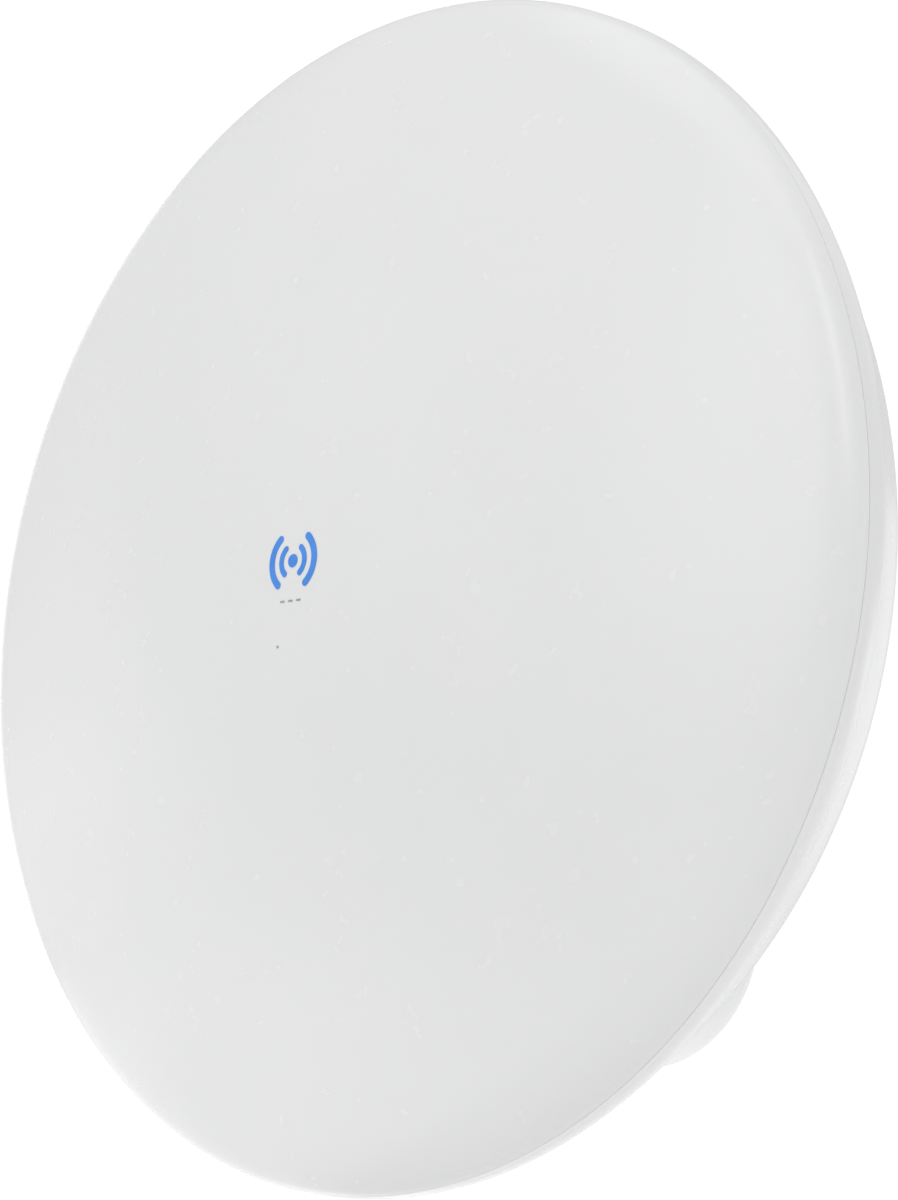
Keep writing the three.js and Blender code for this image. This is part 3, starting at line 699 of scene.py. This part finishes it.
hs = lathe("housing_v", housing_profile())
boolean(hs, [collar()], "UNION")
part(hs, "rear_housing_shell", "white", DISH, "white_housing", "rear_housing")

# ------------------------------------------------------------------ reflector and feed
FOCAL, VERTEX = 100.3, 75.5


def para(rr):
    return VERTEX - rr * rr / (4 * FOCAL)


rf = [(rr, para(rr)) for rr in range(167, 21, -6)] + [(21.2, para(21.2))]
rb_ = [(rr, y + 1.0) for rr, y in reversed(rf)][:-1]
part(lathe("reflector_v", rf + rb_ + [(167.6, 5.9), (175.4, 5.9), (175.6, 5.7), (175.6, 5.1), (175.4, 4.9), (168, 4.9)], seg=192),
     "reflector_dish", "alu", DISH, "spun_aluminium", "reflector")
part(lathe("wg_v", rounded([(19, -4, 0.2), (20.5, -4, 0.2), (20.5, 114.7, 1.5), (26, 114.7, 0.6), (26, 117.7, 0.4), (19, 117.7, 0.2)], 4), seg=64),
     "feed_tube", "alu", DISH, "spun_aluminium", "feed_waveguide")
part(lathe("cone_v", [(0, -20.2), (29.4, -20.2), (30, -19.6), (30, -18.6), (29.6, -17.7), (26, -11), (23, -7), (21.3, -4.8), (20.6, -4.3),
                      (18.7, -4.3), (18.7, 11.4), (18.2, 12.6), (12, 21), (6.5, 29), (5, 30), (0, 30)], seg=64),
     "feed_lens", "feed", DISH, "feed_plastic", "feed_cone")
part(lathe("sub_v", [(0, -24), (30.6, -24), (31.7, -23.5), (32, -22.6), (32, -21), (31.5, -20.5), (0, -20.5)], seg=64),
     "sub_reflector_disc", "alu", DISH, "spun_aluminium", "sub_reflector")


# ------------------------------------------------------------------ radio pod
def pod_rings(inset, y0, edge, rear, n=7):
    """Outline rings from y0 back to the rear face, with a rounded rear edge."""
    rings = [ring_at(-inset, lambda x, z: y0)]
    for i in range(n + 1):
        t = i / n * math.pi / 2
        rings.append(ring_at(-inset - edge * (1 - math.cos(t)), lambda x, z, t=t: rear - edge * (1 - math.sin(t))))
    return rings


def block(x0, x1, y0, y1, z0, z1, name="block"):
    v = [(x, y - MAST_BACK, z + AXIS_UP) for x in (x0, x1) for y in (y0, y1) for z in (z0, z1)]
    f = [(0, 1, 3, 2), (4, 6, 7, 5), (0, 4, 5, 1), (2, 3, 7, 6), (0, 2, 6, 4), (1, 5, 7, 3)]
    o = raw(name, v, f)
    outward(o)
    return o


def pod_solid(name):
    first = [ring_at(-0.5, lambda x, z: POD_DECK + 1.3), ring_at(-0.1, lambda x, z: POD_DECK + 1.5)]
    return loft(name, first + pod_rings(0.0, POD_DECK + 2.0, 8.0, POD_REAR, 10))


def pod_void(name, y0):
    return loft(name, pod_rings(2.5, y0, 6.0, POD_REAR - 2.5, 5))


SCREWS = [(36.5, 6, "upper_right"), (-36.5, 6, "upper_left"), (36.5, -72, "lower_right"), (-36.5, -72, "lower_left")]
shell = pod_solid("pod_v")
boolean(shell, [block(-60, 60, 80, 160, SPLIT, 90)], "INTERSECT")
void = pod_void("void_v", 60)
boolean(void, [block(-60, 60, 50, 160, SPLIT + 2.6, 90)], "INTERSECT")
boolean(shell, [void])
for x, z, n_ in SCREWS:
    s = 1 if x > 0 else -1
    boolean(shell, [rod("boss", 6.3, POD_DECK + 1.3, POD_REAR - 1.7, "Y", (x, 0, z), dish=True),
                    block(min(x, s * 43.4), max(x, s * 43.4), POD_DECK + 1.31, POD_REAR - 8, z - 1.5, z + 1.5)], "UNION")
cuts = []
for x, z, n_ in SCREWS:
    cuts += [rod("c", 2.3, 80, 160, "Y", (x, 0, z), 32, dish=True), rod("c", 4.6, POD_REAR - 5, 160, "Y", (x, 0, z), 40, dish=True)]
for x, z in ((20, 0), (-20, 0), (20, -76), (-20, -76)):
    cuts.append(rod("c", 2.8, POD_REAR - 4, 160, "Y", (x, 0, z), 32, dish=True))
cuts.append(block(-9.3, 9.3, 103.2, 118.5, SPLIT - 1, SPLIT + 4))
cuts.append(rod("c", 2.3, SPLIT - 1, SPLIT + 4, "Z", (20, 111, 0), 32, dish=True))
for x in (-8, 0, 8):
    cuts.append(rod("c", 1.7, 130, 160, "Y", (x, 0, -84), 24, bevel=0.01, dish=True))
for c in cuts:
    boolean(shell, [c])
part(shell, "pod_housing", "white_pod", DISH, "white_housing", "pod_shell")

seal_pts = [(x, z) for x, _, z in ring_at(-3.4, lambda x, z: 0) if z > SPLIT + 0.6]
seal_in = [(34.6 * math.cos(math.pi * i / 30), POD_TOP + 34.6 * math.sin(math.pi * i / 30)) for i in range(31)]
seal_in += [(34.6 * math.cos(math.pi + math.pi * i / 30), -43.4 + 34.6 * math.sin(math.pi + math.pi * i / 30)) for i in range(31)]
part(plate("pod_gasket_v", seal_pts, [seal_in, *[circle(2.5, x, z, 20) for x, z, _ in SCREWS]], POD_DECK + 0.25, POD_DECK + 1.05, "Y", 0.15, 1, dish=True),
     "pod_gasket", "rubber", DISH, "black_rubber", "pod_seal")


def socket_screw(name, x, z, head0, head1, r_head, r_shank, tip, mat_nodes, dish):
    prof = [(0, tip), (r_shank - 0.5, tip), (r_shank, tip + 0.6)]
    y = tip + 1.2
    while y < min(tip + 24, head0 - 1.2):
        prof += [(r_shank - 0.28, y), (r_shank, y + 0.35)]
        y += 0.7
    prof += [(r_shank, head0), (r_head - 0.3, head0), (r_head, head0 + 0.3), (r_head, head1 - 0.5), (r_head - 0.25, head1 - 0.12),
             (r_head - 0.6, head1), (0, head1)]
    o = lathe(name + "_v", prof, seg=40, dish=dish, axis="Y", at=(x, 0, z))
    hexc = plate("hexcut", circle(1.95 if r_head < 4.3 else 2.4, x, z, 6, 0.3), [], head1 - 1.8, head1 + 2, "Y", 0.05, 0, dish=dish)
    boolean(o, [hexc])
    return o


for x, z, n_ in SCREWS:
    part(socket_screw("ps_" + n_, x, z, POD_REAR - 4.6, POD_REAR - 1.6, 4.1, 1.9, POD_DECK + 1.4, None, True),
         "pod_screw_" + n_ + "_fine", "steel", DISH, "fastener_steel", "pod_screw_" + n_)

# inside the pod
B = 118.0
bd = plate("board_v", rounded([(-29, -87.5, 2), (29, -87.5, 2), (29, 42, 2), (-29, 42, 2)], 4),
           [circle(1.6, 24, 37, 20), circle(1.6, -24, 37, 20)], B, B + 1.6, "Y", 0.1, 1, dish=True)
part(bd, "radio_board_fine", "board", DISH, "circuit_board", "radio_board")
for n_, m_, s_ in (("rf_shield_can", "tin", "tin_plate"), ("thermal_pad", "pad", "thermal_rubber"), ("gps_patch", "ceramic", "patch_ceramic"),
                   ("status_light_pipe", "clear", "light_pipe"), ("reset_switch", "dark", "dark_plastic"), ("heat_spreader", "alu", "spun_aluminium"),
                   ("ethernet_socket", "tin", "tin_plate")):
    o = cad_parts[n_]
    o.data.materials.clear()
    o.data.materials.append(M[m_])

# ------------------------------------------------------------------ port cover, grommet, reset button
cv = pod_solid("cover_v")
boolean(cv, [block(-60, 60, 80, 160, -150, SPLIT - 0.3)], "INTERSECT")
cv_void = pod_void("cvoid_v", POD_DECK + 3.8)
boolean(cv, [cv_void])
boolean(cv, [rod("c", 8.2, -150, -125, "Z", (0, 116, 0), 48, dish=True)])
grips = []
for i in range(5):  # thumb grip on the rear face
    z = -124 + i * 4.2
    half = 15 - abs(i - 2) * 1.2
    grips.append(plate("grip", rounded([(-half, z - 0.9, 0.85), (half, z - 0.9, 0.85), (half, z + 0.9, 0.85), (-half, z + 0.9, 0.85)], 4), [],
                       POD_REAR - 0.7, POD_REAR + 1.5, "Y", 0.02, 0, dish=True))
for g in grips:
    boolean(cv, [g])
bevelled(cv, 0.3, 2, 45)
part(cv, "port_cover_cap", "white_pod", COVER, "white_housing", "port_cover")

gp = [(3.4, -140.4), (6.6, -140.4), (7.3, -140.1), (7.9, -139.3)]
for k in range(2):
    z = -139.0 + k * 0.9
    gp += [(7.9, z), (7.55, z + 0.25), (7.55, z + 0.5), (7.9, z + 0.75)]
gp += [(7.9, -133.9), (10.1, -133.9), (10.4, -133.6), (10.4, -132.7), (10.0, -132.3), (3.9, -132.3), (3.4, -132.8)]
part(lathe("grommet_v", gp, seg=64, axis="Z", at=(0, 116, 0)), "cable_grommet_fine", "rubber", COVER, "black_rubber", "cable_grommet")

bt = [(0, -92.8), (1.5, -92.8), (1.8, -92.65), (1.9, -92.4), (1.9, -88.0), (2.6, -88.0), (2.8, -87.8), (2.8, -86.2), (2.6, -86.0),
      (1.9, -86.0), (1.9, -82.8), (1.7, -82.6), (0, -82.6)]
part(lathe("button_v", bt, seg=32, axis="Z", at=(20, 111, 0)), "reset_button_fine", "dark", BUTTON, "dark_plastic", "reset_button")


# ------------------------------------------------------------------ tilt bracket: folded sheet with two ears
def hull(points):
    p = sorted(points)
    def side(lst):
        out = []
        for q in lst:
            while len(out) > 1 and (out[-1][0] - out[-2][0]) * (q[1] - out[-2][1]) - (out[-1][1] - out[-2][1]) * (q[0] - out[-2][0]) <= 1e-9:
                out.pop()
            out.append(q)
        return out[:-1]
    return side(p) + side(p[::-1])


def folded(name, y_face, t, x_out, bend, y_far, z0, z1, forward=1):
    """A channel: a web at y_face and two walls that run to y_far, with bend radii at the corners."""
    f = forward
    pts = [(-x_out, y_far), (-x_out, y_face, bend + t), (x_out, y_face, bend + t), (x_out, y_far), (x_out - t, y_far),
           (x_out - t, y_face + f * t, bend), (-x_out + t, y_face + f * t, bend), (-x_out + t, y_far)]
    return plate(name, rounded(pts, 6), [], z0, z1, "Z", 0.01, 0)


def raised(pts):
    """(y, z) points given about the pivot's height, in the row frame."""
    return [(y, z + PIV) for y, z in pts]


ear = hull(circle(11, PY, 0, 56) + circle(6.2, PY, LOCK_R, 56) + [(FACE + 2.6, -36), (FACE + 2.6, 41)])
i0 = min(range(len(ear)), key=lambda i: math.dist(ear[i], (FACE + 2.6, -36)))
ear = ear[i0:] + ear[:i0]
cut_shape = [(FACE - 0.5, -46), (FACE + 2.6, -46)] + ear + [(FACE + 2.6, 46), (FACE - 0.5, 46)]
tb = folded("tilt_v", FACE, EAR_T, EAR_IN + EAR_T, 2.0, PY + 14, PIV - 46, PIV + 46)
boolean(tb, [plate("ear_cut", raised(cut_shape), [], -60, 60, "X", 0.01, 0)], "INTERSECT")
boolean(tb, [rod("c", 4.3, -60, 60, "X", (0, PY, PIV), 40)])
boolean(tb, [rod("c", 3.3, -60, 60, "X", (0, PY, PIV + LOCK_R), 40)])
for x, z in ((20, 38), (-20, 38), (20, -38), (-20, -38)):
    boolean(tb, [rod("c", 2.8, FACE - 3, FACE + 6, "Y", (x, 0, z + PIV), 32)])
boolean(tb, [plate("c", rounded([(-14, PIV - 26, 5), (14, PIV - 26, 5), (14, PIV + 28, 5), (-14, PIV + 28, 5)], 6), [], FACE - 3, FACE + 6, "Y", 0.01, 0)])
bevelled(tb, 0.4, 2, 40)
part(tb, "tilt_bracket_folded", "paint", DISH, "painted_bracket", "tilt_bracket")

for x, z, n_ in ((20, 38, "upper_right"), (-20, 38, "upper_left"), (20, -38, "lower_right"), (-20, -38, "lower_left")):
    part(socket_screw("bs_" + n_, x, z + PIV, FACE + 2.9, FACE + 6, 4.6, 2.4, FACE - 4, None, False),
         "bracket_screw_" + n_ + "_fine", "steel", DISH, "fastener_steel", "bracket_screw_" + n_)


# ------------------------------------------------------------------ bolts, washers, nuts
def hex_piece(name, axis, at, lo, hi, bore=0.0, corner=7.5, both=True):
    """Hexagon with turned corners."""
    chamfer = corner * 0.1
    prof = [(bore, lo)] if bore else [(0, lo)]
    prof += [(corner * 0.85, lo), (corner + 0.02, lo + chamfer)] if both else [(corner + 0.02, lo)]
    prof += [(corner + 0.02, hi - chamfer), (corner * 0.85, hi)]
    prof += [(bore, hi)] if bore else [(0, hi)]
    if bore:
        prof = [(bore + 0.4, lo)] + prof[1:-1] + [(bore + 0.4, hi), (bore, hi - 0.4), (bore, lo + 0.4)]
    o = lathe(name, prof, seg=96, dish=False, axis=axis, at=at)
    tool = plate("hx", circle(corner, at[1], at[2], 6, math.pi / 6), [], lo - 1, hi + 1, "X", 0.02, 0)
    boolean(o, [tool], "INTERSECT")
    return o


def shank(name, axis, at, lo, hi, thread_from, r_=4.0, pitch=1.25):
    prof = [(0, lo), (r_, lo), (r_, thread_from)]
    y = thread_from + 0.3
    deep = pitch * 0.5
    while y < hi - pitch * 1.3:
        prof += [(r_ - deep, y), (r_ - deep, y + pitch * 0.1), (r_, y + pitch * 0.45), (r_, y + pitch * 0.58)]
        y += pitch
    prof += [(r_ - 0.2, hi - 0.9), (r_ - 0.9, hi), (0, hi)]
    return lathe(name, prof, seg=40, dish=False, axis=axis, at=at)


def bolt_x(z, label, body, node_name, r_, corner, head_t, tail, pitch):
    at = (0, PY, PIV + z)
    head = hex_piece("head", "X", at, -OUT1 - 0.3 - head_t, -OUT1 - 0.3, corner=corner)
    sh = shank("shank", "X", at, -OUT1 - 1.0, OUT1 + tail, 20.0, r_, pitch)
    boolean(head, [sh], "UNION")
    part(head, label, "steel", body, "fastener_steel", node_name)


def washer(name, axis, at, lo, hi, ro, ri, body, node_name):
    prof = rounded([(ri, lo, 0.15), (ro, lo, 0.4), (ro, hi, 0.4), (ri, hi, 0.15)], 3)
    part(lathe(name + "_v", prof, seg=64, dish=False, axis=axis, at=at), name, "steel", body, "fastener_steel", node_name)


bolt_x(LOCK_R, "lock_bolt_fine", DISH, "lock_bolt", 3.0, 5.77, 4.0, 9.0, 1.0)
bolt_x(0.0, "pivot_bolt_fine", CLAMP, "pivot_bolt", 4.0, 7.5, 5.3, 11.6, 1.25)
washer("lock_washer_fine", "X", (0, PY, PIV + LOCK_R), OUT1 + 0.3, OUT1 + 1.8, 6.2, 3.35, DISH, "lock_washer")
washer("pivot_washer_fine", "X", (0, PY, PIV), OUT1 + 0.3, OUT1 + 1.9, 8.0, 4.35, CLAMP, "pivot_washer")
part(hex_piece("ln_v", "X", (0, PY, PIV + LOCK_R), OUT1 + 2.1, OUT1 + 7.1, 3.35, 5.77), "lock_nut_fine", "steel", "nut_lock", "fastener_steel", "lock_nut")
part(hex_piece("pn_v", "X", (0, PY, PIV), OUT1 + 2.2, OUT1 + 8.7, 4.35, 7.5), "pivot_nut_fine", "steel", "nut_pivot", "fastener_steel", "pivot_nut")


# ------------------------------------------------------------------ mast bracket
def face_y(x):
    return -APEX + abs(x) * math.tan(math.radians(30))


def arc_pts(rr, a0, a1, n):
    return [(PY + rr * math.sin(math.radians(a0 + (a1 - a0) * i / n)), rr * math.cos(math.radians(a0 + (a1 - a0) * i / n))) for i in range(n + 1)]


def slot_outline(rr, w, half):
    pts = arc_pts(rr + w, -half, half, 24)
    for side, start in ((1, 90 - half), (-1, 270 + half)):
        if side < 0:
            pts += arc_pts(rr - w, half, -half, 24)
        c = (PY + rr * math.sin(math.radians(side * half)), rr * math.cos(math.radians(half)))
        for i in range(1, 12):
            t = math.radians(start - 180 * i / 12)
            pts.append((c[0] + w * math.cos(t), c[1] + w * math.sin(t)))
    return pts


outer_ear = hull(arc_pts(26.6, -33, 33, 40) + circle(13, PY, 0, 64)
                 + [(WEB - WEB_T + 0.4, -14), (WEB - WEB_T + 0.4, 28), (WEB - 1, -14), (WEB - 1, 28)])
mb = plate("mast_v", rounded([(-OUT1, PIV - 14, 3), (OUT1, PIV - 14, 3), (OUT1, PIV + 32, 6), (SADDLE_X, PIV + 38, 6),
                              (SADDLE_X, SADDLE_Z, 3), (-SADDLE_X, SADDLE_Z, 3), (-SADDLE_X, PIV + 38, 6), (-OUT1, PIV + 32, 6)], 8),
           [], WEB - WEB_T, WEB, "Y", 0.6, 2)
for s in (-1, 1):
    lo, hi = (-OUT1, -OUT0) if s < 0 else (OUT0, OUT1)
    boolean(mb, [plate("e", raised(outer_ear), [raised(circle(4.3, PY, 0, 40)), raised(slot_outline(LOCK_R, 3.35, 20.8))], lo, hi, "X", 0.5, 2)], "UNION")
# The saddle's vee faces are notched so that they grip.
vee = [(-SADDLE_X, WEB - 1.2), (SADDLE_X, WEB - 1.2), (SADDLE_X, face_y(SADDLE_X))]
n = 8
for i in range(n):
    xa = SADDLE_X - 1.2 - (SADDLE_X - 2.4) * i / n
    xb = SADDLE_X - 1.2 - (SADDLE_X - 2.4) * (i + 0.62) / n
    xm = SADDLE_X - 1.2 - (SADDLE_X - 2.4) * (i + 0.8) / n
    vee += [(xa, face_y(xa)), (xb, face_y(xb))] + ([(xm, face_y(xm) - 0.75)] if i < n - 1 else [])
vee += [(0, face_y(0))]
right = vee[2:-1]
vee += [(-x, y) for x, y in right[::-1]]
boolean(mb, [plate("vee", vee, [], -SADDLE_Z, SADDLE_Z, "Z", 0.3, 2)], "UNION")
# The band passes behind the saddle through this slot.
boolean(mb, [plate("slot", rounded([(WEB, -BAND_Z - 0.7, 0.5), (-31.6, -BAND_Z - 0.7, 0.5), (-31.6, BAND_Z + 0.7, 0.5), (WEB, BAND_Z + 0.7, 0.5)], 4), [], -30, 30, "X", 0.01, 0)])
part(mb, "mast_bracket_cast", "paint", CLAMP, "painted_bracket", "mast_bracket")

# degree marks beside the slot, on both outer ears
for s, side in ((1, "right"), (-1, "left")):
    ticks = []
    for deg in range(-20, 21, 5):
        long = 2.2 if deg % 10 == 0 else 1.3
        t = math.radians(deg)
        r0 = LOCK_R + 3.9
        a, e = (PY + r0 * math.sin(t), r0 * math.cos(t)), (PY + (r0 + long) * math.sin(t), (r0 + long) * math.cos(t))
        w = 0.2
        px, pz = math.cos(t) * w, -math.sin(t) * w
        lo, hi = (OUT1 + 0.02, OUT1 + 0.12) if s > 0 else (-OUT1 - 0.12, -OUT1 - 0.02)
        ticks.append(plate("t", raised([(a[0] - px, a[1] - pz), (a[0] + px, a[1] + pz), (e[0] + px, e[1] + pz), (e[0] - px, e[1] - pz)]), [], lo, hi, "X", 0.01, 0))
    part(joined("ticks", ticks), "tilt_scale_" + side, "grey", CLAMP, "painted_bracket")

# ------------------------------------------------------------------ worm-drive band
IN_R, BAND_T = 25.4, 0.8


def loop(rr, x, y, corner, n=96):
    arc = [(rr * math.cos(math.radians(-4 + 188 * i / n)), rr * math.sin(math.radians(-4 + 188 * i / n))) for i in range(n + 1)]
    return arc + rounded([arc[-1], (-x, -y, corner), (x, -y, corner), arc[0]], 6)[1:-1]


outer, inner = loop(IN_R + BAND_T, 22.7, 33.6, 2.4), loop(IN_R, 21.8, 33.6 - BAND_T, 1.6)
part(plate("band_v", outer, [inner], -BAND_Z, BAND_Z, "Z", 0.18, 2), "strap_band_fine", "band", CLAMP, "fastener_steel", "strap_band")
spin = Matrix.Rotation(math.radians(WORM_DEG - 90), 4, "Z")
WORM_Y = IN_R + BAND_T + 6
hz = plate("wh_v", rounded([(23.6, -8.2, 0.4), (WORM_Y + 5.8, -8.2, 4.4), (WORM_Y + 5.8, 8.2, 4.4), (23.6, 8.2, 0.4), (23.6, BAND_Z + 0.4, 0.3),
                            (IN_R + BAND_T + 0.35, BAND_Z + 0.4, 0.6), (IN_R + BAND_T + 0.35, -BAND_Z - 0.4, 0.6), (23.6, -BAND_Z - 0.4, 0.3)], 6),
           [], -8, 8, "X", 0.3, 2)
boolean(hz, [rod("c", 4.6, -12, 12, "X", (0, WORM_Y, 0), 40)])
hz.data.transform(spin)
part(hz, "strap_housing_fine", "steel", CLAMP, "fastener_steel", "strap_housing")
prof = [(0, -9), (3.2, -9), (3.5, -8.6)]
y = -8.2
while y < 7.5:
    prof += [(3.5, y), (3.5, y + 0.3), (4.2, y + 0.9), (4.2, y + 1.2), (3.5, y + 1.8)]
    y += 2.2
prof += [(3.5, 9.6), (0, 9.6)]
ws = lathe("ws_v", prof, seg=40, dish=False, axis="X", at=(0, WORM_Y, 0))
boolean(ws, [hex_piece("wh", "X", (0, WORM_Y, 0), 9.4, 15.0, corner=5.2)], "UNION")
boolean(ws, [plate("cutslot", rounded([(WORM_Y - 7, -0.6), (WORM_Y + 7, -0.6), (WORM_Y + 7, 0.6), (WORM_Y - 7, 0.6)]), [], 13.5, 17, "X", 0.01, 0)])
ws.data.transform(spin)
part(ws, "strap_screw_fine", "steel", "worm", "fastener_steel", "strap_screw")
